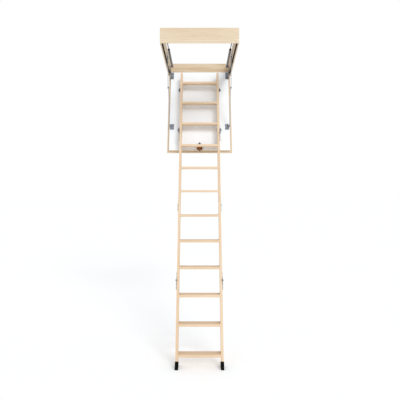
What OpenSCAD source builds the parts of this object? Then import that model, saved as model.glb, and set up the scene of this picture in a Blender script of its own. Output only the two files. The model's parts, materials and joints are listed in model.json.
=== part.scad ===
/* [Frame] */
// Outside width of the frame
frame_w = 700; // [640:1:900]
// Outside length of the frame
frame_l = 1025; // [1000:1:1300]
// Height of the frame boards
frame_h = 134; // [100:1:200]
// Thickness of the frame boards
board_t = 25; // [20:1:32]
// Width of the rebate that the hatch lip closes into
rebate_w = 15; // [12:1:18]
// Height of that rebate
rebate_h = 15; // [14:0.5:20]

/* [Hatch] */
// Angle of the open hatch and ladder below the ceiling
open_angle = 69.4; // [62:0.1:74]
// Thickness of the whole hatch
hatch_t = 36; // [32:1:60]
// Thickness of the outer panel and of the lip around it
outer_t = 12; // [9:0.5:13]
// Thickness of the white inner skin
skin_t = 3; // [2:0.5:5]
// Width of the core rails
rail_w = 40; // [32:1:60]
// Width of the lip boards
lip_w = 66; // [60:1:80]
// Gap around the lip when shut
hatch_gap = 2; // [1:0.5:3]

/* [Ladder] */
// Outside width over the stringers
ladder_w = 410; // [340:1:480]
// Thickness of a stringer
stringer_t = 22; // [18:1:28]
// Depth of a stringer
stringer_d = 80; // [66:1:96]
// Thickness of a tread
tread_t = 21; // [17:1:26]
// Depth that a tread is let into each stringer
housing = 6; // [4:0.5:9]
// Spacing of the treads along the stringer
tread_pitch = 250; // [208:1:300]
// Distance of the first tread from the hatch pivot
first_tread = 189; // [170:1:230]
// Distance of the stringer tops from the hatch pivot
ladder_top = 80; // [70:1:100]
// Distance from the last tread to the floor, along the stringer
foot_drop = 109; // [90:1:150]
// Space between the hatch and the stringers
stand_off = 26; // [22:1:34]
// Gap between two sections when folded together
fold_gap = 4; // [3.5:0.5:8]
// Gap between the ends of two sections in line
end_gap = 1; // [0.5:0.5:2]

/* [Feet] */
// Wall of a foot cap
foot_wall = 3; // [2:0.5:3.2]
// Length of a foot cap along the stringer
foot_l = 52; // [44:1:80]
// Thickness of the sole
foot_sole = 9; // [6:1:14]

/* [Section hinges] */
// Thickness of the hinge leaves
leaf_t = 2.5; // [2:0.5:5]
// Radius of the hinge pins
pin_r = 4; // [3:0.5:5]
// Radius of the leaf around its pin
ear_r = 13; // [9:0.5:15]
// Length of a leaf on its stringer
leaf_l = 70; // [56:1:80]
// Width of a leaf on its stringer
leaf_w = 36; // [26:1:40]

/* [Stays] */
// Upper stay pivot ahead of the frame's middle
stay_pivot_y = 8; // [-40:1:60]
// Upper stay pivot above the ceiling
stay_pivot_z = 52; // [40:1:80]
// Distance of the lower stay pivot from the hatch pivot
stay_foot_u = 685; // [660:1:700]
// Height of the lower stay pivot above the hatch
stay_foot_h = 24; // [20:1:32]
// Length of the upper stay between pivots
upper_stay_l = 305; // [303:1:330]
// Length of the lower stay between pivots
lower_stay_l = 392; // [388:1:420]
// Width of a stay
stay_w = 20; // [14:1:26]
// Thickness of a stay
stay_t = 4; // [3:0.5:4]

/* [Gas springs] */
// Front anchor of a gas spring behind the frame's middle
anchor_y = -390; // [-420:1:-370]
// Height of the anchor above the ceiling
anchor_z = 66; // [50:1:100]
// Distance of a gas spring from the frame's inner face
spring_inset = 28; // [27:1:44]
// Height of the lever stud above the hatch pivot
lever_h = 134; // [110:1:150]
// Radius of the cylinder
tube_r = 11; // [8:0.5:13]
// Length of the cylinder
tube_l = 495; // [440:1:520]
// Radius of the rod
rod_r = 4; // [3:0.5:5]
// Wall of the cylinder
tube_wall = 1.5; // [1:0.5:2.5]
// Part of the rod that stays in the cylinder at full length
rod_hold = 50; // [30:1:80]
// Travel of the rod while the hatch swings
rod_travel = 106; // [90:1:130]

/* [Latch] */
// Width of the latch case
latch_w = 56; // [40:1:80]
// Length of the latch case
latch_l = 60; // [56:1:80]
// Height of the latch case
latch_h = 16; // [14:1:20]
// Width of the bolt
bolt_w = 22; // [16:1:26]
// Throw of the bolt
bolt_throw = 12; // [8:1:13]
// Radius of the round buffer behind the latch
buffer_r = 10; // [6:1:16]
// Height of the buffer
buffer_h = 9; // [6:1:16]
// Gap between the buffer and the latch case
buffer_gap = 4; // [2:1:30]

/* [Fits] */
// Radial clearance of a pin in its hole
pin_clear = 0.05; // [0.03:0.01:0.1]
// Side gap between moving plates
plate_gap = 0.5; // [0.3:0.1:1]
// Clearance of a tread in its housing, and of a foot cap
wood_clear = 0.2; // [0.1:0.05:0.4]
// Clearance of a screw in its hole
screw_clear = 0.05; // [0.02:0.01:0.3]

/* [Hidden] */

$fn = 48;
PINE = [0.91, 0.80, 0.67];
PALE_PINE = [0.93, 0.84, 0.74];
ZINC = [0.55, 0.58, 0.62];
DARK = [0.12, 0.12, 0.13];
cut = 1;                                // how far a cutting shape runs past a face

// Fasteners
screw_r = 2;                            // shank radius
screw_head_r = 4.5;
screw_head_h = 3.2;
screw_l = 14;                           // shank in the wood
stud_r = 5;                             // studs that the stays and springs turn on
stud_head_r = 8;
stud_head_h = 3;
plate_t = 3;                            // pressed brackets
strip_ease = 0.02;                      // a strip's ends bulge this much past its sides
arm_t = 4;                              // hinge arms and the ears of the stay feet

// Frame, measured from the middle of the opening on the ceiling plane
half_w = frame_w / 2;
half_l = frame_l / 2;
inner_x = half_w - board_t;
inner_y = half_l - board_t;
rebate_x = inner_x + rebate_w;
rebate_y = inner_y + rebate_w;
seal_t = rebate_h - outer_t - 0.3;
seal_side = 1;                          // seal starts this far outside the opening

// Hatch pivot, and the hatch measured from it: u runs to the free end, z away from
// the outer panel
pivot_z = 12;
pivot_y = inner_y - 14;
rear_u = -5;                            // end of the hatch behind its pivot
core_u = pivot_y + inner_y - 3;         // free end of the core
lip_u = pivot_y + rebate_y - hatch_gap; // free end of the lip
bracket_x = inner_x - plate_t;          // inner face of the frame's brackets
arm_x1 = bracket_x - plate_gap;         // outer face of a hinge arm
arm_x0 = arm_x1 - arm_t;
core_x = arm_x0 - plate_gap;            // half width of the core
lip_x = rebate_x - hatch_gap;           // half width over the lips
out_z = -pivot_z;                       // outer face of the hatch
core_z = out_z + outer_t;
face_z = out_z + hatch_t;               // inner face of the hatch
skin_z = face_z - skin_t;
rail_x = core_x - rail_w;
panel_x = lip_x - lip_w;
front_lip_u = lip_u - lip_w;
lip_start_u = 28;                       // side lips stop clear of the hinge plates
back_rail_u = rear_u + rail_w;
rail_cut = 0.2;                         // saw cut between a side rail and the cross rails
foam_clear = 0.05;                      // foam stays this far inside the skins

// Ladder, in the same axes as the hatch
TREADS_PER_SECTION = 3;
SECTIONS = 4;
half_ladder = ladder_w / 2;
ladder_z0 = face_z + stand_off;         // back edge of the stringers
ladder_z1 = ladder_z0 + stringer_d;     // front edge
ladder_mid = (ladder_z0 + ladder_z1) / 2;
stringer_x = half_ladder - stringer_t;
tread_inset = 0.5;                      // treads stand back from the stringer edges
last_tread = first_tread + (SECTIONS * TREADS_PER_SECTION - 1) * tread_pitch;
floor_level = level(last_tread + foot_drop, ladder_mid);
stringer_level = floor_level + foot_sole;
foot_top_u = last_tread + foot_drop - foot_l;

// Where the ladder stands on the hatch
bracket_us = [228, 722];
bracket_l = 44;                         // along the stringer
bracket_reach = 26;                     // beyond the stringer, on the hatch
bracket_h = stand_off + 32;             // up the side of the stringer
bracket_screw_z = face_z + bracket_h - 11;

// Hinge leaves
leaf_in = 8;                            // a leaf starts this far from the joint
leaf_set_in = 20;                       // the same for the joggled lower leaf
leaf_edge = 4;                          // and this far from the stringer edge
leaf_x1 = half_ladder + leaf_t;
joggle_x0 = leaf_x1 + 0.3;
joggle_x1 = joggle_x0 + leaf_t;
leaf_screw_us = [30, 62];               // screws of a leaf from its joint
leaf_screw_in = leaf_edge + leaf_w / 2;
pin_head_r = 7;
pin_head_h = 4.5;

// Stays: the upper pair lies outside the lower pair
upper_x1 = bracket_x - 1;
upper_x0 = upper_x1 - stay_t;
lower_x1 = upper_x0 - 0.3;
lower_x0 = lower_x1 - stay_t;
foot_ear_x1 = lower_x0 - 4.7;
foot_ear_x0 = foot_ear_x1 - arm_t;
stay_foot_z = face_z + stay_foot_h;
stay_foot_flange = 38;
stay_foot_l = 65;

// Gas springs
spring_x = inner_x - spring_inset;
eye_t = 10;
eye_r = 10;
lever_back = -2;                        // lever stud against the hatch pivot
gland_l = 10;
piston_l = 12;

// Latch
latch_u1 = core_u - 3;
latch_u0 = latch_u1 - latch_l;
buffer_u = latch_u0 - buffer_gap - buffer_r;
front_rail_u = latch_u0;                // the front rail is wide enough to take the latch
bolt_h = 9;
bolt_u1 = core_u + bolt_throw;
bolt_l = 54;
tab_u = core_u - 28;                    // free side of the bolt's pull tab
tab_l = 8;
tab_w = 6;
slot_u0 = tab_u - bolt_throw - tab_l - 2;
slot_u1 = tab_u + 2;
strike_pocket = 14;

// Height above the hatch pivot, with the hatch open, of a point at u and z
function level(u, z) = -u * sin(open_angle) + z * cos(open_angle);
// The u at which the level line c crosses the height z
function level_u(c, z) = (z * cos(open_angle) - c) / sin(open_angle);
// Where a point of the hatch lies in the frame, as [y, z], with the hatch open
function in_frame(u, z) = [
    pivot_y - u * cos(open_angle) - z * sin(open_angle),
    pivot_z + level(u, z)
];
function joint_u(k) = first_tread + (k * TREADS_PER_SECTION - 0.5) * tread_pitch;
// Sections 1 to 2 and 3 to 4 fold on their front edges, 2 to 3 on the back
function at_front(k) = k % 2 == 1;
function joint_z(k) = at_front(k) ? ladder_z1 + fold_gap / 2 : ladder_z0 - fold_gap / 2;
function inward(k) = at_front(k) ? -1 : 1;
function pad_z(k) = at_front(k) ? ladder_z1 - leaf_edge - leaf_w : ladder_z0 + leaf_edge;
function leaf_screw_z(k) =
    (at_front(k) ? ladder_z1 : ladder_z0) + inward(k) * leaf_screw_in;
function section_start(k) = k == 1 ? ladder_top : joint_u(k - 1) + end_gap / 2;
function section_end(k) = joint_u(k) - end_gap / 2;

// Points [y, z] of the two stay pivots, the knee between them and the lever stud
upper_pivot = [stay_pivot_y, stay_pivot_z];
lower_pivot = in_frame(stay_foot_u, stay_foot_z);
stay_span = norm(lower_pivot - upper_pivot);
stay_dir = (lower_pivot - upper_pivot) / stay_span;
knee_along = (stay_span ^ 2 + upper_stay_l ^ 2 - lower_stay_l ^ 2) / (2 * stay_span);
knee_out = sqrt(max(0, upper_stay_l ^ 2 - knee_along ^ 2));
knee = upper_pivot + knee_along * stay_dir + knee_out * [stay_dir[1], -stay_dir[0]];
spring_anchor = [anchor_y, anchor_z];
lever_stud = in_frame(-lever_back, lever_h);
spring_run = lever_stud - spring_anchor;
spring_l = norm(spring_run);
spring_tilt = atan2(spring_run[1], spring_run[0]);
tube_start = spring_l - eye_r - tube_l;
rod_l = tube_start + rod_travel + rod_hold;

// Screw places: [x, u] on the hatch face for the right side, and [y, z] on the boards
hinge_flange = [36, 85];                // width and length of a hinge arm's flange
hatch_screw_xu = concat(
    [for (u = [25, 65]) [arm_x0 - 14, u]],
    [for (du = [-20, 20]) [foot_ear_x0 - 14, stay_foot_u + du]],
    [for (u = bracket_us, du = [-11, 11]) [half_ladder + 13, u + du]],
    [for (u = [latch_u0 + 8, latch_u1 - 8]) [latch_w / 2 - 7, u]]
);
board_screw_yz = concat(
    [for (dz = [18, 44]) [pivot_y - 14, pivot_z + dz]],
    [for (dz = [-24, 24]) [stay_pivot_y, stay_pivot_z + dz]],
    [for (dy = [-22, 22]) [anchor_y + dy, anchor_z]]
);
strike_screw_x = 24;

// ---- building blocks ----

// Places hatch parts, drawn with y = -u, where the open hatch is
module on_hatch() {
    translate([0, pivot_y, pivot_z]) rotate([open_angle, 0, 0]) children();
}

// Draws the right-hand piece, or its mirror image on the left
module handed(side) {
    if (side == "left") mirror([1, 0, 0]) children();
    else children();
}

module both_sides() {
    children();
    mirror([1, 0, 0]) children();
}

// A flat [y, z] outline made solid from x0 to x1
module slab_x(x0, x1) {
    translate([x0, 0, 0]) rotate([90, 0, 90]) linear_extrude(x1 - x0) children();
}

// A box between two corners
module block(a, b) {
    translate(a) cube(b - a);
}

// A hatch box from its x, u and z limits
module hatch_block(x, u, z) {
    block([x[0], -u[1], z[0]], [x[1], -u[0], z[1]]);
}

// A cylinder along x through the [y, z] point p
module rod_x(p, x0, x1, r) {
    translate([x0, p[0], p[1]]) rotate([0, 90, 0]) cylinder(h = x1 - x0, r = r);
}

// A round-ended strip from p to q; its sides lie a hair inside the round ends
module strip(p, q, r) {
    d = q - p;
    side = r - strip_ease;
    translate(p) circle(r);
    translate(q) circle(r);
    translate(p) rotate(atan2(d[1], d[0])) translate([0, -side])
        square([norm(d), 2 * side]);
}

// A rectangle with round corners
module round_plate(corner, size, r) {
    translate(corner + [r, 0]) square([size[0] - 2 * r, size[1]]);
    translate(corner + [0, r]) square([size[0], size[1] - 2 * r]);
    for (x = [r, size[0] - r], y = [r, size[1] - r]) translate(corner + [x, y]) circle(r);
}

// A screw with its shank towards -z and its head on z = 0
module screw() {
    cylinder(h = screw_head_h * 0.6, r = screw_head_r);
    translate([0, 0, screw_head_h * 0.6])
        cylinder(h = screw_head_h * 0.4, r1 = screw_head_r, r2 = screw_head_r * 0.7);
    translate([0, 0, -screw_l]) cylinder(h = screw_l, r = screw_r);
}

module screw_hole() {
    translate([0, 0, -screw_l - screw_clear])
        cylinder(h = screw_l + screw_clear + cut, r = screw_r + screw_clear);
}

// Puts a screw or a hole at x, pointing into the stringer from outside
module side_screw_at(x, p) {
    translate([x, p[0], p[1]]) rotate([0, 90, 0]) children();
}

module hatch_screws_at(z) {
    for (p = hatch_screw_xu) translate([p[0], -p[1], z]) children();
}

// ---- frame ----

module frame_side() {
    color(PINE) difference() {
        block([inner_x, -inner_y, 0], [half_w, inner_y, frame_h]);
        block([inner_x - cut, -inner_y - cut, -cut], [rebate_x, inner_y + cut, rebate_h]);
        for (p = board_screw_yz) rod_x(p, inner_x - cut, inner_x + screw_l + screw_clear,
                                       screw_r + screw_clear);
    }
}

module frame_side_left() { handed("left") frame_side(); }
module frame_side_right() { handed("right") frame_side(); }

module frame_front_board() {
    bolt_z = pivot_z + face_z + bolt_h / 2;
    color(PINE) difference() {
        block([-half_w, -half_l, 0], [half_w, -inner_y, frame_h]);
        block([-rebate_x, -rebate_y, -cut], [rebate_x, -inner_y + cut, rebate_h]);
        block([-bolt_w / 2 - 5, -inner_y - strike_pocket, bolt_z - bolt_h],
              [bolt_w / 2 + 5, -inner_y + cut, bolt_z + bolt_h]);
        for (x = [-strike_screw_x, strike_screw_x]) translate([x, -inner_y, bolt_z])
            rotate([-90, 0, 0]) screw_hole();
    }
}

module frame_back_board() {
    color(PINE) block([-half_w, inner_y, 0], [half_w, half_l, frame_h]);
}

module frame_seal() {
    x = inner_x + seal_side;
    rear_y = pivot_y - lip_start_u;
    color(DARK) difference() {
        block([-rebate_x, -rebate_y, rebate_h - seal_t], [rebate_x, rear_y, rebate_h]);
        block([-x, -inner_y - seal_side, -cut], [x, rear_y + cut, rebate_h + cut]);
    }
}

// A plate on a side board, with a headed stud towards the opening
module stud_plate(centre, corner, size, stud_x, screws) {
    difference() {
        slab_x(bracket_x, inner_x) round_plate(centre + corner, size, 6);
        for (p = screws) {
            rod_x(p, bracket_x - cut, inner_x + cut, screw_r + screw_clear);
            rod_x(p, bracket_x - cut, inner_x - 0.4, screw_head_r + screw_clear);
        }
    }
    rod_x(centre, stud_x, bracket_x + cut, stud_r);
    rod_x(centre, stud_x - stud_head_h, stud_x, stud_head_r);
}

module hinge_bracket() {
    stud_plate([pivot_y, pivot_z], [-24, -9], [35, 66], arm_x0 - plate_gap,
               [for (i = [0, 1]) board_screw_yz[i]]);
}
module hinge_brackets() { color(ZINC) both_sides() hinge_bracket(); }

module stay_bracket() {
    stud_plate(upper_pivot, [-17, -35], [34, 70], upper_x0 - plate_gap,
               [for (i = [2, 3]) board_screw_yz[i]]);
}
module stay_brackets() { color(ZINC) both_sides() stay_bracket(); }

module spring_anchor_plate() {
    stud_plate(spring_anchor, [-32, -15], [64, 30], spring_x - eye_t / 2 - 0.3,
               [for (i = [4, 5]) board_screw_yz[i]]);
}
module spring_anchors() { color(ZINC) both_sides() spring_anchor_plate(); }

module strike_plate() {
    bolt_z = pivot_z + face_z + bolt_h / 2;
    color(ZINC) translate([0, -inner_y, bolt_z]) rotate([-90, 0, 0]) linear_extrude(2)
        difference() {
            round_plate([-strike_screw_x - 8, -15], [2 * strike_screw_x + 16, 30], 5);
            square([bolt_w + 4, bolt_h + 5], center = true);
            for (x = [-strike_screw_x, strike_screw_x])
                translate([x, 0]) circle(screw_r + screw_clear);
        }
}

module frame_screws() {
    bolt_z = pivot_z + face_z + bolt_h / 2;
    color(ZINC) {
        both_sides() for (p = board_screw_yz) {
            rod_x(p, bracket_x + 0.1, inner_x - 0.5, screw_head_r);
            rod_x(p, inner_x - 0.6, inner_x + screw_l, screw_r);
        }
        for (x = [-strike_screw_x, strike_screw_x])
            translate([x, -inner_y, bolt_z]) rotate([-90, 0, 0]) {
                translate([0, 0, 2]) cylinder(h = screw_head_h * 0.5, r = screw_head_r);
                translate([0, 0, -screw_l]) cylinder(h = screw_l + 2.1, r = screw_r);
            }
    }
}

// ---- hatch ----

module tab_slot() {
    hatch_block([-tab_w / 2 - 1.5, tab_w / 2 + 1.5], [slot_u0, slot_u1],
                [out_z - cut, face_z + cut]);
}

module hatch_rails() {
    z = [core_z, skin_z];
    color(PINE) on_hatch() difference() {
        union() {
            for (side = ["left", "right"]) handed(side)
                hatch_block([rail_x, core_x], [rear_u, core_u], z);
            hatch_cross_rails(z);
        }
        tab_slot();
        both_sides() {
            hatch_screws_at(face_z) screw_hole();
            rod_x([0, 0], arm_x0 - plate_gap - stud_head_h - 1, core_x + cut,
                  stud_head_r + 1);
        }
        // saw cuts keep each rail a piece of its own
        both_sides() hatch_block([rail_x - rail_cut, rail_x], [rear_u - cut, core_u + cut],
                                 [core_z - cut, skin_z + cut]);
    }
}

// Rails between the side rails: back, one under each pair of ladder brackets, front
cross_rails = [
    [rear_u, back_rail_u],
    [bracket_us[0] - rail_w / 2, bracket_us[0] + rail_w / 2],
    [bracket_us[1] - rail_w / 2, bracket_us[1] + rail_w / 2],
    [front_rail_u, core_u]
];

module hatch_cross_rails(z) {
    for (u = cross_rails) hatch_block([-rail_x, rail_x], u, z);
}

module hatch_insulation() {
    fill_x = rail_x - rail_cut;
    color([0.95, 0.93, 0.85]) on_hatch() for (i = [0 : len(cross_rails) - 2])
        hatch_block([-fill_x, fill_x], [cross_rails[i][1], cross_rails[i + 1][0]],
                    [core_z + foam_clear, skin_z - foam_clear]);
}

module hatch_inner_skin() {
    color([0.97, 0.97, 0.98]) on_hatch() difference() {
        hatch_block([-core_x, core_x], [rear_u, core_u], [skin_z, face_z]);
        tab_slot();
        both_sides() hatch_screws_at(face_z) screw_hole();
    }
}

module hatch_outer_panel() {
    color([0.96, 0.96, 0.96]) on_hatch()
        hatch_block([-panel_x, panel_x], [rear_u, front_lip_u], [out_z, core_z]);
}

module hatch_lips() {
    color(PINE) on_hatch() difference() {
        union() {
            both_sides() hatch_block([panel_x, lip_x], [lip_start_u, front_lip_u],
                                     [out_z, core_z]);
            hatch_block([-lip_x, lip_x], [front_lip_u + 0.2, lip_u], [out_z, core_z]);
        }
        tab_slot();
    }
}

// Bell crank: flange on the hatch, web down to the pivot and lever up to the spring
module hinge_arm() {
    lever = [lever_back, lever_h];
    difference() {
        union() {
            slab_x(arm_x0, arm_x1) {
                strip([0, 0], lever, 11);
                polygon([[0, -4], [-20, 6], [-hinge_flange[1], face_z - 12],
                         [-hinge_flange[1], face_z + plate_t],
                         [-hinge_flange[1] + 35, face_z + plate_t],
                         lever + [-9, -50], lever + [0, -50]]);
            }
            hatch_block([arm_x1 - hinge_flange[0], arm_x1], [0, hinge_flange[1]],
                        [face_z, face_z + plate_t]);
            rod_x(lever, spring_x + tube_r + 0.3, arm_x0 + cut, stud_r);
        }
        rod_x([0, 0], arm_x0 - cut, arm_x1 + cut, stud_r + pin_clear);
        hatch_screws_at(face_z + plate_t) screw_hole();
    }
}
module hinge_arms() { color(ZINC) on_hatch() both_sides() hinge_arm(); }

module stay_foot() {
    p = [-stay_foot_u, stay_foot_z];
    difference() {
        union() {
            hatch_block([foot_ear_x1 - stay_foot_flange, foot_ear_x1],
                        [stay_foot_u - stay_foot_l / 2, stay_foot_u + stay_foot_l / 2],
                        [face_z, face_z + plate_t]);
            slab_x(foot_ear_x0, foot_ear_x1) {
                strip([p[0], face_z + 13], p, 13);
                translate([p[0] - 24, face_z]) square([48, 12]);
            }
            rod_x(p, foot_ear_x0 + cut, lower_x0 - 0.3, stud_head_r);
            rod_x(p, foot_ear_x0 + cut, lower_x1 + 0.3, stud_r);
            rod_x(p, lower_x1 + 0.3, lower_x1 + 0.3 + stud_head_h, stud_head_r);
        }
        hatch_screws_at(face_z + plate_t) screw_hole();
    }
}
module stay_feet() { color(ZINC) on_hatch() both_sides() stay_foot(); }

// The case of the lock, and the round black buffer behind it
module latch_case() {
    color(DARK) on_hatch() translate([0, -buffer_u, face_z]) {
        cylinder(h = buffer_h * 0.6, r = buffer_r);
        translate([0, 0, buffer_h * 0.6])
            cylinder(h = buffer_h * 0.4, r1 = buffer_r, r2 = buffer_r * 0.7);
    }
    color([0.72, 0.52, 0.28]) on_hatch() difference() {
        hatch_block([-latch_w / 2, latch_w / 2], [latch_u0, latch_u1],
                    [face_z, face_z + latch_h]);
        hatch_block([-bolt_w / 2 - 0.3, bolt_w / 2 + 0.3],
                    [bolt_u1 - bolt_l - bolt_throw - 1, latch_u1 + cut],
                    [face_z - cut, face_z + bolt_h + 0.8]);
        both_sides() hatch_screws_at(face_z + plate_t)
            cylinder(h = latch_h, r = screw_head_r + 0.5);
        both_sides() hatch_screws_at(face_z + plate_t) screw_hole();
    }
}

module latch_bolt() {
    z0 = face_z + 0.3;
    color(ZINC) on_hatch() {
        difference() {
            hatch_block([-bolt_w / 2, bolt_w / 2], [bolt_u1 - bolt_l, bolt_u1],
                        [z0, z0 + bolt_h]);
            translate([0, -bolt_u1, z0]) rotate([-50, 0, 0])
                cube([bolt_w + 2 * cut, 3 * bolt_h, bolt_h], center = true);
        }
        difference() {
            hatch_block([-tab_w / 2, tab_w / 2], [tab_u - tab_l, tab_u],
                        [out_z - 10, z0 + cut]);
            translate([0, -tab_u + tab_l / 2, out_z - 5]) rotate([0, 90, 0])
                cylinder(h = tab_w + 2 * cut, r = 2, center = true);
        }
    }
}

// ---- ladder brackets ----

module ladder_bracket(u) {
    difference() {
        union() {
            slab_x(half_ladder, half_ladder + plate_t)
                round_plate([-u - bracket_l / 2, face_z], [bracket_l, bracket_h], 5);
            intersection() {
                translate([half_ladder, -u, face_z])
                    cylinder(h = plate_t, r = bracket_reach);
                hatch_block([half_ladder, half_ladder + bracket_reach],
                            [u - bracket_l / 2, u + bracket_l / 2],
                            [face_z, face_z + plate_t]);
            }
        }
        hatch_screws_at(face_z + plate_t) screw_hole();
        for (p = bracket_screws(u)) side_screw_at(half_ladder + plate_t, p) screw_hole();
    }
}
function bracket_screws(u) = [for (du = [-12, 12]) [-u + du, bracket_screw_z]];

module ladder_brackets() {
    color(ZINC) on_hatch() both_sides() for (u = bracket_us) ladder_bracket(u);
}

module hatch_screws() {
    color(ZINC) on_hatch() both_sides() {
        hatch_screws_at(face_z + plate_t) screw();
        for (u = bracket_us, p = bracket_screws(u))
            side_screw_at(half_ladder + plate_t, p) screw();
        leaf_screws(1, -1, leaf_x1);
    }
}

// ---- stays ----

module upper_stay() {
    color(ZINC) difference() {
        union() {
            slab_x(upper_x0, upper_x1) strip(upper_pivot, knee, stay_w / 2);
            rod_x(knee, upper_x1, upper_x1 + stud_head_h, stud_head_r);
        }
        rod_x(upper_pivot, upper_x0 - cut, upper_x1 + cut, stud_r + pin_clear);
    }
}
module upper_stay_left() { handed("left") upper_stay(); }
module upper_stay_right() { handed("right") upper_stay(); }

module lower_stay() {
    color(ZINC) difference() {
        union() {
            slab_x(lower_x0, lower_x1) strip(lower_pivot, knee, stay_w / 2);
            rod_x(knee, lower_x0 - stud_head_h, lower_x0, stud_head_r);
        }
        rod_x(lower_pivot, lower_x0 - cut, lower_x1 + cut, stud_r + pin_clear);
    }
}
module lower_stay_left() { handed("left") lower_stay(); }
module lower_stay_right() { handed("right") lower_stay(); }

// ---- gas springs ----

// Draws along +y from the front anchor towards the lever stud
module on_spring() {
    translate([spring_x, anchor_y, anchor_z]) rotate([spring_tilt, 0, 0]) children();
}

// A round bar along y
module rod_y(y0, y1, r) {
    translate([0, y0, 0]) rotate([-90, 0, 0]) cylinder(h = y1 - y0, r = r);
}

module spring_eye(y, t) {
    translate([-t / 2, y, 0]) rotate([0, 90, 0]) cylinder(h = t, r = eye_r);
}

module gas_rod() {
    color(DARK) on_spring() {
        difference() {
            union() {
                spring_eye(0, eye_t);
                rod_y(eye_r - 2, eye_r + 8, rod_r + 2.5);
                rod_y(eye_r, rod_l, rod_r);
            }
            rod_x([0, 0], -eye_t, eye_t, stud_r + pin_clear);
        }
        rod_y(rod_l - piston_l, rod_l, tube_r - tube_wall - pin_clear);
    }
}
module gas_rod_left() { handed("left") gas_rod(); }
module gas_rod_right() { handed("right") gas_rod(); }

module gas_cylinder() {
    on_spring() {
        color(ZINC) difference() {
            union() {
                rod_y(tube_start, tube_start + tube_l, tube_r);
                spring_eye(spring_l, 2 * tube_r);
            }
            rod_y(tube_start - cut, tube_start + tube_l - 8, tube_r - tube_wall);
        }
        color(DARK) difference() {
            rod_y(tube_start - gland_l, tube_start, tube_r);
            rod_y(tube_start - gland_l - cut, tube_start + cut, rod_r + pin_clear);
        }
    }
}
module gas_cylinder_left() { handed("left") gas_cylinder(); }
module gas_cylinder_right() { handed("right") gas_cylinder(); }

// ---- ladder sections ----

// Side outline of the tread at u: level top and bottom, edges in line with the stringer
module tread_outline(u, z0, z1, t) {
    c = level(u, ladder_mid);
    polygon([
        [-level_u(c + t / 2, z0), z0], [-level_u(c - t / 2, z0), z0],
        [-level_u(c - t / 2, z1), z1], [-level_u(c + t / 2, z1), z1]
    ]);
}

function tread_u(i) = first_tread + (i - 1) * tread_pitch;

module tread(i) {
    x = stringer_x + housing;
    color(PALE_PINE) on_hatch() slab_x(-x, x)
        tread_outline(tread_u(i), ladder_z0 + tread_inset, ladder_z1 - tread_inset, tread_t);
}

// Side outline of a stringer; the last one is cut level above the sole of its foot
module stringer_outline(k) {
    u0 = section_start(k);
    e0 = k == SECTIONS ? level_u(stringer_level, ladder_z0) : section_end(k);
    e1 = k == SECTIONS ? level_u(stringer_level, ladder_z1) : section_end(k);
    polygon([[-u0, ladder_z0], [-e0, ladder_z0], [-e1, ladder_z1], [-u0, ladder_z1]]);
}

module stringer(k) {
    first = (k - 1) * TREADS_PER_SECTION + 1;
    color(PALE_PINE) on_hatch() difference() {
        slab_x(stringer_x, half_ladder) stringer_outline(k);
        for (i = [first : first + TREADS_PER_SECTION - 1])
            slab_x(stringer_x - cut, stringer_x + housing)
                tread_outline(tread_u(i), ladder_z0 - cut, ladder_z1 + cut,
                              tread_t + 2 * wood_clear);
        if (k > 1) for (p = leaf_screw_points(k - 1, 1))
            side_screw_at(half_ladder + leaf_t, p) screw_hole();
        if (k < SECTIONS) for (p = leaf_screw_points(k, -1))
            side_screw_at(half_ladder + leaf_t, p) screw_hole();
        if (k == 1) for (u = bracket_us, p = bracket_screws(u))
            side_screw_at(half_ladder + plate_t, p) screw_hole();
    }
}

// Screw points [y, z] of the leaf above (way = -1) or below (way = 1) joint k
function leaf_screw_points(k, way) =
    [for (u = leaf_screw_us) [-joint_u(k) - way * u, leaf_screw_z(k)]];

module leaf_screws(k, way, x) {
    for (p = leaf_screw_points(k, way)) side_screw_at(x, p) screw();
}

// Outline of the leaf's pad on the stringer and of the arm that carries its ear
module leaf_pad(k, way, start) {
    y = -joint_u(k);
    far = leaf_in + leaf_l;
    round_plate([way < 0 ? y + start : y - far, pad_z(k)], [far - start, leaf_w], 4);
}

module leaf_arm(k, way) {
    p = [-joint_u(k), joint_z(k)];
    strip(p, p + [-way * (leaf_set_in + ear_r), inward(k) * (leaf_edge + 2 + ear_r)], ear_r);
}

module upper_leaf(k) {
    difference() {
        slab_x(half_ladder, leaf_x1) {
            leaf_pad(k, -1, leaf_in);
            leaf_arm(k, -1);
        }
        rod_x([-joint_u(k), joint_z(k)], half_ladder - cut, leaf_x1 + cut,
              pin_r + pin_clear);
        for (p = leaf_screw_points(k, -1)) side_screw_at(leaf_x1, p) screw_hole();
    }
}

module lower_leaf(k) {
    difference() {
        union() {
            slab_x(half_ladder, joggle_x1) leaf_pad(k, 1, leaf_set_in);
            slab_x(joggle_x0, joggle_x1) leaf_arm(k, 1);
        }
        rod_x([-joint_u(k), joint_z(k)], joggle_x0 - cut, joggle_x1 + cut,
              pin_r + pin_clear);
        for (p = leaf_screw_points(k, 1)) side_screw_at(joggle_x1, p) screw_hole();
    }
}

// Leaves on section k: the lower leaf of the joint above, the upper leaf of the next
module section_leaves(k) {
    color(ZINC) on_hatch() both_sides() {
        if (k > 1) lower_leaf(k - 1);
        if (k < SECTIONS) upper_leaf(k);
    }
}

// Headed pins of the joint below section k
module section_pins(k) {
    p = [-joint_u(k), joint_z(k)];
    color(ZINC) on_hatch() both_sides() {
        rod_x(p, half_ladder + 0.2, joggle_x1 + 0.3, pin_r);
        rod_x(p, joggle_x1 + 0.3, joggle_x1 + 0.3 + pin_head_h, pin_head_r);
    }
}

module section_screws(k) {
    color(ZINC) on_hatch() both_sides() {
        leaf_screws(k - 1, 1, joggle_x1);
        if (k < SECTIONS) leaf_screws(k, -1, leaf_x1);
    }
}

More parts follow.
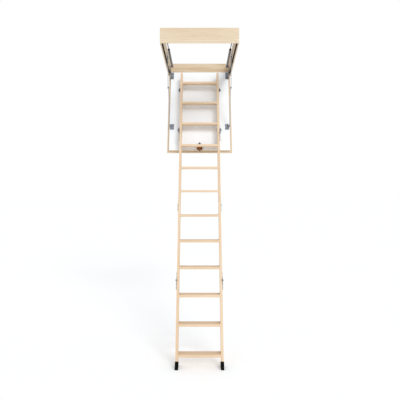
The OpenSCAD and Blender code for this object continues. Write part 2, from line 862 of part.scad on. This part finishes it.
// Foot caps: the sole is level on the floor, the walls wrap the stringer end
module foot_cap() {
    lo = ladder_z0 - foot_wall;
    hi = ladder_z1 + foot_wall;
    difference() {
        slab_x(stringer_x - foot_wall, half_ladder + foot_wall)
            polygon([[-foot_top_u, lo], [-level_u(floor_level, lo), lo],
                     [-level_u(floor_level, hi), hi], [-foot_top_u, hi]]);
        slab_x(stringer_x - wood_clear, half_ladder + wood_clear)
            polygon([[-foot_top_u + cut, ladder_z0 - wood_clear],
                     [-level_u(stringer_level, ladder_z0 - wood_clear),
                      ladder_z0 - wood_clear],
                     [-level_u(stringer_level, ladder_z1 + wood_clear),
                      ladder_z1 + wood_clear],
                     [-foot_top_u + cut, ladder_z1 + wood_clear]]);
    }
}
module foot_caps() { color(DARK) on_hatch() both_sides() foot_cap(); }

module stringer_left(k) { handed("left") stringer(k); }
module stringer_right(k) { handed("right") stringer(k); }

frame_side_left();
frame_side_right();
frame_front_board();
frame_back_board();
frame_seal();
hinge_brackets();
stay_brackets();
spring_anchors();
strike_plate();
frame_screws();
hatch_rails();
hatch_insulation();
hatch_inner_skin();
hatch_outer_panel();
hatch_lips();
hinge_arms();
stay_feet();
latch_case();
ladder_brackets();
hatch_screws();
latch_bolt();
upper_stay_left();
upper_stay_right();
lower_stay_left();
lower_stay_right();
gas_rod_left();
gas_rod_right();
gas_cylinder_left();
gas_cylinder_right();
for (k = [1 : SECTIONS]) {
    stringer_left(k);
    stringer_right(k);
    section_leaves(k);
    if (k < SECTIONS)
        section_pins(k);
    if (k > 1)
        section_screws(k);
}
for (i = [1 : SECTIONS * TREADS_PER_SECTION])
    tread(i);
foot_caps();
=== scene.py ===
import json
import math
import random

import bmesh
import bpy
from mathutils import Matrix, Vector


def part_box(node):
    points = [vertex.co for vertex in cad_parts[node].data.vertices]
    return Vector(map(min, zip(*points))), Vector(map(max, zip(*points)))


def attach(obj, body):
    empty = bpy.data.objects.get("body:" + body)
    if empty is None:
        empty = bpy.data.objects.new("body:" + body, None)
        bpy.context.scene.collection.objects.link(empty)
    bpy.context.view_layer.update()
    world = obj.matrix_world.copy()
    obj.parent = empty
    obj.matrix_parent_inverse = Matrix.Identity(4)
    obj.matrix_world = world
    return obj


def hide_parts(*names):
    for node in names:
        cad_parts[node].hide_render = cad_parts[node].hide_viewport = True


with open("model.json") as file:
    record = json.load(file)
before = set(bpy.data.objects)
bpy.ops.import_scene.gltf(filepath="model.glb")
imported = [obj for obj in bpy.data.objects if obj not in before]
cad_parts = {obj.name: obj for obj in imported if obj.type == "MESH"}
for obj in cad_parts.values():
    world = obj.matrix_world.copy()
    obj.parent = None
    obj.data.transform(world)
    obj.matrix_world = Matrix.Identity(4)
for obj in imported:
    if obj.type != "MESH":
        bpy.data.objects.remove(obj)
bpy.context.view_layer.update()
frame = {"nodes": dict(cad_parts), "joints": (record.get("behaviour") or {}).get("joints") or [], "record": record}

# ---- places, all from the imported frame, in metres ----

nodes = frame["nodes"]
joints = {joint["name"]: joint for joint in frame["joints"]}
slide_axis = Vector(joints["bolt_slide"]["axis"]).normalized()
UP_HATCH = slide_axis                                  # along the open hatch
OFF_HATCH = Vector((0, -slide_axis.z, slide_axis.y))   # square to it, on the ladder's side
HATCH_PIVOT = Vector(joints["hatch_swing"]["pos_m"])
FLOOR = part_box("foot_caps")[0][2]
FRAME_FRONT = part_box("frame_front_board")[0][1]
MM = 0.001
HAIR = 0.3 * MM
BAR_PLATE = 4 * MM                   # each stay bar; a bolt head adds to one side of it
BAR_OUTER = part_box("upper_stay_right")[0][0] + BAR_PLATE
BAR_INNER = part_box("lower_stay_right")[1][0] - BAR_PLATE
LOCK_LENGTH = 62 * MM                # from the lock's free side to the gap before the buffer
COLLAR_LENGTH = 14 * MM              # black gland at the front end of a gas spring


def node_names(*words):
    """The CAD nodes whose names hold any of these words."""
    return [name for name in nodes if any(word in name for word in words)]


# ---- small shader kit ----

def linear(*srgb):
    """An 8-bit display colour as the linear colour that a shader takes."""
    values = [c / 255 for c in srgb]
    return tuple(c / 12.92 if c <= 0.04045 else ((c + 0.055) / 1.055) ** 2.4 for c in values) + (1,)


class Shader:
    """A Principled material and short calls for the nodes that feed it."""

    def __init__(self, name, **sockets):
        self.material = bpy.data.materials.new(name)
        self.material.use_nodes = True
        self.tree = self.material.node_tree
        self.principled = next(n for n in self.tree.nodes if n.type == "BSDF_PRINCIPLED")
        for socket, value in sockets.items():
            self.principled.inputs[socket.replace("_", " ")].default_value = value
        self.place = self.node("ShaderNodeTexCoord").outputs["Object"]

    def node(self, kind, **settings):
        made = self.tree.nodes.new(kind)
        for key, value in settings.items():
            setattr(made, key, value)
        return made

    def put(self, socket, value):
        """Links an output to a socket, or sets the socket's own value."""
        if isinstance(value, bpy.types.NodeSocket):
            self.tree.links.new(value, socket)
        else:
            socket.default_value = value

    def math(self, operation, a, b=0.0, clamp=False):
        made = self.node("ShaderNodeMath", operation=operation, use_clamp=clamp)
        self.put(made.inputs[0], a)
        self.put(made.inputs[1], b)
        return made.outputs[0]

    def vector(self, operation, a, b=(0, 0, 0)):
        made = self.node("ShaderNodeVectorMath", operation=operation)
        self.put(made.inputs[0], a)
        self.put(made.inputs[1], b)
        return made.outputs["Value" if operation in ("LENGTH", "DOT_PRODUCT") else "Vector"]

    def noise(self, place, scale, detail=2.0, roughness=0.5):
        made = self.node("ShaderNodeTexNoise")
        self.put(made.inputs["Vector"], place)
        made.inputs["Scale"].default_value = scale
        made.inputs["Detail"].default_value = detail
        made.inputs["Roughness"].default_value = roughness
        return made.outputs["Fac"]

    def cells(self, place, scale, output="Distance"):
        made = self.node("ShaderNodeTexVoronoi")
        self.put(made.inputs["Vector"], place)
        made.inputs["Scale"].default_value = scale
        return made.outputs[output]

    def remap(self, value, low, high, to_low=0.0, to_high=1.0):
        made = self.node("ShaderNodeMapRange", interpolation_type="SMOOTHSTEP")
        self.put(made.inputs["Value"], value)
        for socket, number in zip(("From Min", "From Max", "To Min", "To Max"),
                                  (low, high, to_low, to_high)):
            made.inputs[socket].default_value = number
        return made.outputs["Result"]

    def mix(self, share, a, b):
        made = self.node("ShaderNodeMix", data_type="RGBA")
        colours = [s for s in made.inputs if s.type == "RGBA"]
        self.put(made.inputs[0], share)
        self.put(colours[0], a)
        self.put(colours[1], b)
        return next(s for s in made.outputs if s.type == "RGBA")

    def axes(self, place):
        made = self.node("ShaderNodeSeparateXYZ")
        self.put(made.inputs[0], place)
        return made.outputs

    def join(self, x, y, z):
        made = self.node("ShaderNodeCombineXYZ")
        for socket, value in zip(made.inputs, (x, y, z)):
            self.put(socket, value)
        return made.outputs[0]

    def finish(self, colour=None, roughness=None, height=None, depth=0.3 * MM):
        if colour is not None:
            self.put(self.principled.inputs["Base Color"], colour)
        if roughness is not None:
            self.put(self.principled.inputs["Roughness"], roughness)
        if height is not None:
            bump = self.node("ShaderNodeBump")
            bump.inputs["Distance"].default_value = depth
            self.put(bump.inputs["Height"], height)
            self.put(self.principled.inputs["Normal"], bump.outputs[0])
        return self.material


# ---- materials ----

BOARD_TONES = (linear(228, 213, 189), linear(190, 158, 116))
LADDER_TONES = (linear(235, 214, 187), linear(203, 165, 124))
KNOT = linear(150, 96, 56)
SHEET_TONES = ((118, 124, 136), (176, 181, 190))
SPANGLE = 110                        # zinc crystals to the metre
DUST = 0.06                          # the most that dust covers
RING_SPACING = 3.4 * MM
KNOT_CELLS = (5.2, 5.2, 2.4)         # one knot site in about 190 x 190 x 420 mm of timber
KNOT_CORE, KNOT_RIM = 0.034, 0.062   # in the same cells


def grain_turn(along):
    """Rotation that brings the grain direction of a board onto the texture's z axis."""
    return along.rotation_difference(Vector((0, 0, 1))).to_euler()


def along_grain(shader, along, draw):
    """Texture coordinates with z along the grain, somewhere in the tree of the board's own."""
    turned = shader.node("ShaderNodeMapping")
    shader.put(turned.inputs["Vector"], shader.place)
    turned.inputs["Rotation"].default_value = grain_turn(along)
    turned.inputs["Location"].default_value = (
        draw.uniform(0.05, 0.11) * draw.choice((-1, 1)),
        draw.uniform(0.04, 0.09) * draw.choice((-1, 1)),
        draw.uniform(-9, 9),
    )
    return turned.outputs[0]


def timber_field(shader, place):
    """Late-wood bands, fibres and knots of pine, each from 0 to 1."""
    slow = shader.vector("MULTIPLY", place, (1, 1, 0.07))
    knot_place = shader.vector("MULTIPLY", place, KNOT_CELLS)
    knot_far = shader.cells(knot_place, 1.0)
    knot = shader.remap(knot_far, KNOT_CORE, KNOT_RIM, 1, 0)
    swirl = shader.remap(knot_far, 0.0, 0.30, 0.012, 0)
    x, y, _ = shader.axes(slow)
    drift = shader.math("MULTIPLY", shader.noise(slow, 11, 2), 0.020)
    radius = shader.vector("LENGTH", shader.join(x, y, 0.0))
    radius = shader.math("ADD", shader.math("ADD", radius, drift), swirl)
    phase = shader.math("FRACT", shader.math("DIVIDE", radius, RING_SPACING))
    rising = shader.remap(phase, 0.25, 0.86)
    falling = shader.remap(phase, 0.86, 1.0, 1, 0)
    bands = shader.math("MULTIPLY", rising, falling)
    fibres = shader.noise(shader.vector("MULTIPLY", place, (1, 1, 0.02)), 620, 3, 0.6)
    return bands, fibres, knot


def timber_finish(shader, place, tones, board_shade):
    """Colour, roughness and height of planed pine between its two tones."""
    bands, fibres, knot = timber_field(shader, place)
    patches = shader.noise(shader.vector("MULTIPLY", place, (1, 1, 0.15)), 16, 2)
    share = shader.math("MULTIPLY", bands, 0.36)
    share = shader.math("ADD", share, shader.remap(fibres, 0.35, 0.75, 0, 0.26))
    share = shader.math("ADD", share, shader.remap(patches, 0.3, 0.75, board_shade, 0.20 + board_shade),
                        clamp=True)
    colour = shader.mix(share, *tones)
    colour = shader.mix(shader.math("MULTIPLY", knot, 0.8), colour, KNOT)
    height = shader.math("SUBTRACT", shader.math("MULTIPLY", bands, 0.5), fibres)
    roughness = shader.remap(share, 0, 1, 0.50, 0.62)
    return colour, roughness, height


def pine(name, along, tones):
    """Planed pine with its grain along one direction and a look of its own for each board."""
    draw = random.Random(name)
    shader = Shader("pine_" + name, Specular_IOR_Level=0.35)
    place = along_grain(shader, along, draw)
    board_shade = draw.uniform(0.0, 0.14)
    colour, roughness, height = timber_finish(shader, place, tones, board_shade)
    return shader.finish(colour, roughness, height, 0.25 * MM)


def framed_pine(name, tones, cross_from):
    """Boards that run up the hatch, and others across it beyond |x| or at its ends."""
    draw = random.Random(name)
    shader = Shader("pine_" + name, Specular_IOR_Level=0.35)
    up_place = along_grain(shader, UP_HATCH, draw)
    across_place = along_grain(shader, Vector((1, 0, 0)), draw)
    is_across = cross_from(shader)
    made = shader.node("ShaderNodeMix", data_type="VECTOR")
    vectors = [s for s in made.inputs if s.type == "VECTOR"]
    shader.put(made.inputs[0], is_across)
    shader.put(vectors[-2], up_place)
    shader.put(vectors[-1], across_place)
    place = next(s for s in made.outputs if s.type == "VECTOR")
    colour, roughness, height = timber_finish(shader, place, tones, 0.08)
    return shader.finish(colour, roughness, height, 0.25 * MM)


def spangle_field(shader, spangle):
    """Crystals of a zinc coat with smudges over them, from 0 to 1, and the smudges alone."""
    crystals = shader.axes(shader.cells(shader.place, spangle, "Color"))[0]
    smudges = shader.noise(shader.place, 38, 3)
    share = shader.math("ADD", shader.math("MULTIPLY", crystals, 0.45),
                        shader.math("MULTIPLY", smudges, 0.55))
    return share, smudges


def zinc(name, shade=1.0, spangle=SPANGLE):
    """Galvanised sheet steel: faint crystals, smudges and a soft shine."""
    shader = Shader(name, Metallic=0.85)
    share, _ = spangle_field(shader, spangle)
    low, high = [linear(*(min(255, c * shade) for c in tone)) for tone in SHEET_TONES]
    colour = shader.mix(share, low, high)
    scratches = shader.noise(shader.vector("MULTIPLY", shader.place, (1, 1, 0.05)), 900, 2)
    roughness = shader.remap(share, 0.2, 0.8, 0.34, 0.52)
    return shader.finish(colour, roughness, scratches, 0.04 * MM)


def lacquered_board(name, tone):
    """White lacquered fibreboard: a fine roller texture and faint unevenness."""
    shader = Shader(name, Specular_IOR_Level=0.45, Coat_Weight=0.15, Coat_Roughness=0.25)
    stipple = shader.noise(shader.place, 1300, 2, 0.6)
    cloud = shader.noise(shader.place, 5, 3)
    colour = shader.mix(shader.remap(cloud, 0.3, 0.7), linear(*tone), linear(*(c - 5 for c in tone)))
    roughness = shader.remap(cloud, 0.3, 0.7, 0.32, 0.42)
    return shader.finish(colour, roughness, stipple, 0.06 * MM)


def rubber(name, tone=(3, 3, 3)):
    """Moulded black rubber with a fine matt grain and some dust."""
    shader = Shader(name, Specular_IOR_Level=0.08)
    grain = shader.noise(shader.place, 1700, 2, 0.7)
    dust = shader.remap(shader.noise(shader.place, 60, 4, 0.65), 0.5, 0.8, 0, DUST)
    colour = shader.mix(dust, linear(*tone), linear(70, 68, 64))
    roughness = shader.remap(dust, 0, DUST, 0.62, 0.82)
    return shader.finish(colour, roughness, grain, 0.12 * MM)


def black_steel(name):
    """Nitrided black rod: almost even, with fine marks along its length."""
    shader = Shader(name, Metallic=0.6)
    marks = shader.noise(shader.vector("MULTIPLY", shader.place, (1, 0.04, 1)), 1200, 2)
    colour = shader.mix(marks, linear(26, 27, 30), linear(48, 49, 54))
    return shader.finish(colour, shader.remap(marks, 0.3, 0.7, 0.26, 0.40), marks, 0.03 * MM)


def hatch_distance(point):
    """Distance of a point from the hatch pivot, along the open hatch."""
    return (Vector(point) - HATCH_PIVOT).dot(-UP_HATCH)


BUFFER_END = max(hatch_distance(v.co) for v in nodes["latch_case"].data.vertices) - LOCK_LENGTH


def along_hatch(shader):
    """Distance of a surface point from the hatch pivot, along the open hatch."""
    from_pivot = shader.vector("SUBTRACT", shader.place, tuple(HATCH_PIVOT))
    return shader.vector("DOT_PRODUCT", from_pivot, tuple(-UP_HATCH))


def lock_finish(name):
    """Gold-brown lacquered lock case, and the black rubber of the buffer behind it."""
    shader = Shader(name, Specular_IOR_Level=0.3)
    tint = shader.noise(shader.place, 42, 4, 0.6)
    lacquer = shader.mix(shader.remap(tint, 0.32, 0.68), linear(112, 62, 22), linear(186, 114, 54))
    is_buffer = shader.math("LESS_THAN", along_hatch(shader), BUFFER_END)
    colour = shader.mix(is_buffer, lacquer, linear(4, 4, 4))
    roughness = shader.math("ADD", shader.remap(tint, 0.3, 0.7, 0.30, 0.42),
                            shader.math("MULTIPLY", is_buffer, 0.30))
    return shader.finish(colour, roughness, tint, 0.05 * MM)


def bar_finish(name):
    """Galvanised stay bars; their knee bolts, which stand proud of the bars, are dark."""
    shader = Shader(name, Metallic=0.85)
    share, smudges = spangle_field(shader, SPANGLE)
    sheet = shader.mix(share, linear(126, 132, 143), linear(184, 189, 198))
    out = shader.math("ABSOLUTE", shader.axes(shader.place)[0])
    head_out = shader.math("GREATER_THAN", out, BAR_OUTER + HAIR)
    head_in = shader.math("LESS_THAN", out, BAR_INNER - HAIR)
    is_head = shader.math("MAXIMUM", head_out, head_in)
    colour = shader.mix(is_head, sheet, linear(34, 35, 38))
    return shader.finish(colour, shader.remap(share, 0.2, 0.8, 0.34, 0.50), smudges, 0.04 * MM)


def tube_finish(name):
    """Grey painted gas spring tube with fine wear marks, and its black gland at the front end."""
    along = Vector(joints["gas_cylinder_right_slide"]["axis"]).normalized()
    tube = nodes["gas_cylinder_right"].data.vertices
    collar_end = min(v.co.dot(along) for v in tube) + COLLAR_LENGTH
    shader = Shader(name, Metallic=0.55)
    smudges = shader.noise(shader.place, 46, 4, 0.6)
    marks = shader.noise(shader.vector("MULTIPLY", shader.place, (1, 0.05, 1)), 700, 2)
    share = shader.math("ADD", shader.math("MULTIPLY", smudges, 0.6), shader.math("MULTIPLY", marks, 0.4))
    paint = shader.mix(shader.remap(share, 0.3, 0.7), linear(70, 73, 79), linear(112, 116, 124))
    is_collar = shader.math("LESS_THAN", shader.vector("DOT_PRODUCT", shader.place, tuple(along)), collar_end)
    colour = shader.mix(is_collar, paint, linear(16, 16, 17))
    return shader.finish(colour, shader.remap(share, 0.3, 0.7, 0.28, 0.44), marks, 0.03 * MM)


def bead_foam(name):
    """Expanded foam: pale beads pressed together."""
    shader = Shader(name, Roughness=0.9)
    beads = shader.cells(shader.place, 260)
    colour = shader.mix(shader.remap(beads, 0.2, 0.7), linear(240, 238, 228), linear(216, 212, 198))
    return shader.finish(colour, None, beads, 0.6 * MM)


# ---- CAD pieces: materials and eased edges ----

def dress(names, material, edge=0.0, segments=2):
    """Gives CAD nodes their material and rounds their sharp edges by that radius."""
    for name in names:
        piece = nodes[name]
        piece.data.materials.clear()
        piece.data.materials.append(material)
        if edge:
            bevel = piece.modifiers.new("eased_edges", "BEVEL")
            bevel.width = edge
            bevel.segments = segments
            bevel.limit_method = "ANGLE"
            bevel.angle_limit = math.radians(40)


X_AXIS, Y_AXIS = Vector((1, 0, 0)), Vector((0, 1, 0))


def dress_timber():
    """Each board and tread its own pine, with the grain along its length."""
    for name in ("frame_side_left", "frame_side_right"):
        dress([name], pine(name, Y_AXIS, BOARD_TONES), 1.5 * MM)
    for name in ("frame_front_board", "frame_back_board"):
        dress([name], pine(name, X_AXIS, BOARD_TONES), 1.5 * MM)
    for name in node_names("stringer"):
        dress([name], pine(name, UP_HATCH, LADDER_TONES), 2.5 * MM, 3)
    for name in node_names("tread_"):
        dress([name], pine(name, X_AXIS, LADDER_TONES), 2.5 * MM, 3)
    panel_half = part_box("hatch_outer_panel")[1][0]
    foam_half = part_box("hatch_insulation")[1][0]

    def lies_inside(half):
        def test(shader):
            return shader.math("LESS_THAN", shader.math("ABSOLUTE", shader.axes(shader.place)[0]), half)
        return test

    dress(["hatch_lips"], framed_pine("hatch_lips", BOARD_TONES, lies_inside(panel_half)), 1.2 * MM)
    dress(["hatch_rails"], framed_pine("hatch_rails", BOARD_TONES, lies_inside(foam_half)), 0.5 * MM)


def dress_metal_and_rest():
    """Steel, rubber, lacquered skins and foam."""
    sheet = zinc("galvanised_sheet", 0.92)
    dress(node_names("bracket", "hinge_arms", "stay_feet", "anchors", "strike", "leaves"), sheet, 0.5 * MM)
    dress(node_names("_stay_"), bar_finish("galvanised_bar"), 0.6 * MM)
    dress(node_names("hinge_pins", "latch_bolt"), zinc("plated_pin", 0.8, 240), 0.4 * MM)
    dress(node_names("gas_cylinder"), tube_finish("painted_tube"))
    dress(node_names("gas_rod"), black_steel("black_rod"))
    dress(["latch_case"], lock_finish("lock_case"), 1.2 * MM, 3)
    dress(["frame_seal"], rubber("seal_rubber", (34, 34, 36)), 0.4 * MM)
    dress(["foot_caps"], rubber("foot_rubber"), 2.0 * MM, 3)
    dress(["hatch_inner_skin"], lacquered_board("inner_skin", (247, 251, 255)), 0.4 * MM)
    dress(["hatch_outer_panel"], lacquered_board("outer_panel", (246, 246, 247)), 0.8 * MM)
    dress(["hatch_insulation"], bead_foam("foam"))


# ---- screws with real heads, where the CAD has its plain ones ----

HEAD_RINGS = 4
HEAD_SIDES = 32


def screw_mesh(head_r, head_h, shank_r, shank_l):
    """Plain pan-head screw, head on z = 0 and shank down; its cross recess is cut in afterwards."""
    shape = bmesh.new()
    profile = [(shank_r * 0.3, -shank_l), (shank_r, -shank_l + 3 * shank_r), (shank_r, 0), (head_r, 0),
               (head_r, head_h * 0.35)]
    for i in range(1, HEAD_RINGS + 1):
        turn = math.pi / 2 * i / (HEAD_RINGS + 1)
        profile.append((head_r * (0.4 + 0.6 * math.cos(turn)), head_h * (0.35 + 0.65 * math.sin(turn))))
    rings = []
    for radius, height in profile:
        steps = [2 * math.pi * k / HEAD_SIDES for k in range(HEAD_SIDES)]
        rings.append([shape.verts.new((radius * math.cos(a), radius * math.sin(a), height)) for a in steps])
    for low, high in zip(rings, rings[1:]):
        for k in range(HEAD_SIDES):
            shape.faces.new((low[k - 1], low[k], high[k], high[k - 1]))
    shape.faces.new(list(reversed(rings[0])))
    shape.faces.new(rings[-1])
    mesh = bpy.data.meshes.new("screw")
    shape.to_mesh(mesh)
    shape.free()
    return mesh


def cross_cutter(head_r, head_h):
    """Two crossed wedges that leave a cross recess in a screw head."""
    shape = bmesh.new()
    for size in ((1.1 * head_r, 0.26 * head_r), (0.26 * head_r, 1.1 * head_r)):
        stretch = Matrix.Diagonal((size[0], size[1], head_h * 1.5, 1))
        bmesh.ops.create_cube(shape, size=1, matrix=Matrix.Translation((0, 0, head_h * 1.2)) @ stretch)
    mesh = bpy.data.meshes.new("cross")
    shape.to_mesh(mesh)
    shape.free()
    return mesh


def cut_mesh(body_mesh, cutter_mesh):
    """The body with the cutter taken out of it, as a new mesh."""
    scene = bpy.context.scene
    body = bpy.data.objects.new("cut_body", body_mesh)
    cutter = bpy.data.objects.new("cut_tool", cutter_mesh)
    for piece in (body, cutter):
        scene.collection.objects.link(piece)
    step = body.modifiers.new("cut", "BOOLEAN")
    step.operation = "DIFFERENCE"
    step.solver = "EXACT"
    step.use_self = True
    step.object = cutter
    evaluated = body.evaluated_get(bpy.context.evaluated_depsgraph_get())
    result = bpy.data.meshes.new_from_object(evaluated)
    for piece in (body, cutter):
        bpy.data.objects.remove(piece)
    return result


def solids_of(node):
    """The separate solids of a CAD node, each as a list of points."""
    shape = bmesh.new()
    shape.from_mesh(nodes[node].data)
    bmesh.ops.remove_doubles(shape, verts=shape.verts, dist=0.01 * MM)
    waiting = set(shape.verts)
    solids = []
    while waiting:
        found, edge = [], [waiting.pop()]
        while edge:
            vert = edge.pop()
            found.append(vert.co.copy())
            for link in vert.link_edges:
                other = link.other_vert(vert)
                if other in waiting:
                    waiting.remove(other)
                    edge.append(other)
        solids.append(found)
    shape.free()
    return solids


def screw_place(points, directions):
    """Where a plain CAD screw sits: its axis towards the head, the head's seat and sizes."""
    centre = sum(points, Vector()) / len(points)
    best = None
    for axis in directions:
        heights = [(p - centre).dot(axis) for p in points]
        radii = [((p - centre) - axis * (p - centre).dot(axis)).length for p in points]
        # of all directions, the screw is slimmest seen along its own axis
        if best is None or max(radii) < best[0]:
            best = (max(radii), axis, heights, radii)
    head_r, axis, heights, radii = best
    wide = [h for h, r in zip(heights, radii) if r > 0.9 * head_r]
    shank_r = min(radii)
    if sum(wide) < 0:
        axis = -axis
        heights = [-h for h in heights]
        wide = [-h for h in wide]
    seat = min(wide)
    on_axis = centre + axis * seat
    return axis, on_axis, head_r, max(heights) - seat, shank_r, seat - min(heights)


def make_screws(node, body, material):
    """One piece with a detailed screw in the place of each plain one of a CAD node."""
    directions = (X_AXIS, Y_AXIS, OFF_HATCH)
    shape = bmesh.new()
    kinds = {}
    for points in solids_of(node):
        axis, seat, head_r, head_h, shank_r, shank_l = screw_place(points, directions)
        key = (round(head_h / MM, 1), round(shank_l / MM, 1))
        if key not in kinds:
            kinds[key] = cut_mesh(screw_mesh(head_r, head_h, shank_r, shank_l), cross_cutter(head_r, head_h))
        copy = kinds[key].copy()
        turn = random.Random(str([round(c, 3) for c in seat])).uniform(0, math.pi)
        spin = Matrix.Rotation(turn, 4, "Z")
        copy.transform(Matrix.Translation(seat) @ axis.to_track_quat("Z", "Y").to_matrix().to_4x4() @ spin)
        shape.from_mesh(copy)
    mesh = bpy.data.meshes.new(node + "_detailed")
    shape.to_mesh(mesh)
    shape.free()
    mesh.materials.append(material)
    piece = bpy.data.objects.new(node + "_detailed", mesh)
    bpy.context.scene.collection.objects.link(piece)
    piece.data.shade_smooth()
    piece.data.set_sharp_from_angle(angle=math.radians(35))
    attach(piece, body)
    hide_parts(node)


def dress_screws():
    """Detailed screws for every CAD node of screws, each riding on that node's body."""
    steel = zinc("plated_screw", 0.9, 300)
    bodies = frame["record"]["behaviour"]["bodies"]
    body_of = {node: body for body, names in bodies.items() for node in names}
    for node in node_names("screws"):
        make_screws(node, body_of[node], steel)


# ---- camera, floor and light ----

LENS = 37.57
CAMERA_BACK = 3.697                  # ahead of the frame's front face
CAMERA_DROP = 1.347                  # below the ceiling
CAMERA_SIDE = 0.0044
LOOK_DOWN = math.radians(0.59)

SKY = 0.73                           # light from all round
FLOOR_GLOW = 0.15                    # keeps the floor as white as a lit backdrop
KEY = 1.2
KEY_SPREAD = math.radians(24)        # a broad lamp, for soft shadows
KEY_WAY = Vector((-0.36, 0.84, -0.52))
FLOOR_REACH = 4000


def make_camera():
    """Straight in front at about mid height, looking very slightly down."""
    data = bpy.data.cameras.new("camera")
    data.lens = LENS
    data.sensor_width = 36
    camera = bpy.data.objects.new("camera", data)
    camera.location = (CAMERA_SIDE, FRAME_FRONT - CAMERA_BACK, -CAMERA_DROP)
    camera.rotation_euler = (math.pi / 2 - LOOK_DOWN, 0, 0)
    bpy.context.scene.collection.objects.link(camera)
    bpy.context.scene.camera = camera


def make_floor():
    """A plain pale floor under the feet, out to the horizon."""
    shape = bmesh.new()
    bmesh.ops.create_grid(shape, x_segments=1, y_segments=1, size=FLOOR_REACH)
    mesh = bpy.data.meshes.new("floor")
    shape.to_mesh(mesh)
    shape.free()
    floor = bpy.data.objects.new("floor", mesh)
    floor.location.z = FLOOR
    shader = Shader("pale_floor", Roughness=0.8, Specular_IOR_Level=0.1,
                    Emission_Color=(1, 1, 1, 1), Emission_Strength=FLOOR_GLOW)
    cloud = shader.noise(shader.place, 0.8, 2)
    mesh.materials.append(shader.finish(shader.mix(cloud, linear(246, 248, 250), linear(248, 250, 252))))
    bpy.context.scene.collection.objects.link(floor)


def make_light():
    """Even white light from all round, seen as white, and one broad soft lamp."""
    world = bpy.data.worlds.new("studio")
    world.use_nodes = True
    back = world.node_tree.nodes["Background"]
    back.inputs["Color"].default_value = (1, 1, 1, 1)
    back.inputs["Strength"].default_value = SKY
    white = world.node_tree.nodes.new("ShaderNodeBackground")
    white.inputs["Color"].default_value = (1, 1, 1, 1)
    seen = world.node_tree.nodes.new("ShaderNodeLightPath")
    either = world.node_tree.nodes.new("ShaderNodeMixShader")
    link = world.node_tree.links.new
    link(seen.outputs["Is Camera Ray"], either.inputs[0])
    link(back.outputs[0], either.inputs[1])
    link(white.outputs[0], either.inputs[2])
    link(either.outputs[0], world.node_tree.nodes["World Output"].inputs["Surface"])
    bpy.context.scene.world = world
    key = bpy.data.lights.new("key", "SUN")
    key.energy = KEY
    key.angle = KEY_SPREAD
    lamp = bpy.data.objects.new("key", key)
    lamp.rotation_euler = KEY_WAY.to_track_quat("-Z", "Y").to_euler()
    bpy.context.scene.collection.objects.link(lamp)
    bpy.context.scene.view_settings.view_transform = "Standard"


make_camera()
make_floor()
make_light()
dress_timber()
dress_metal_and_rest()
dress_screws()
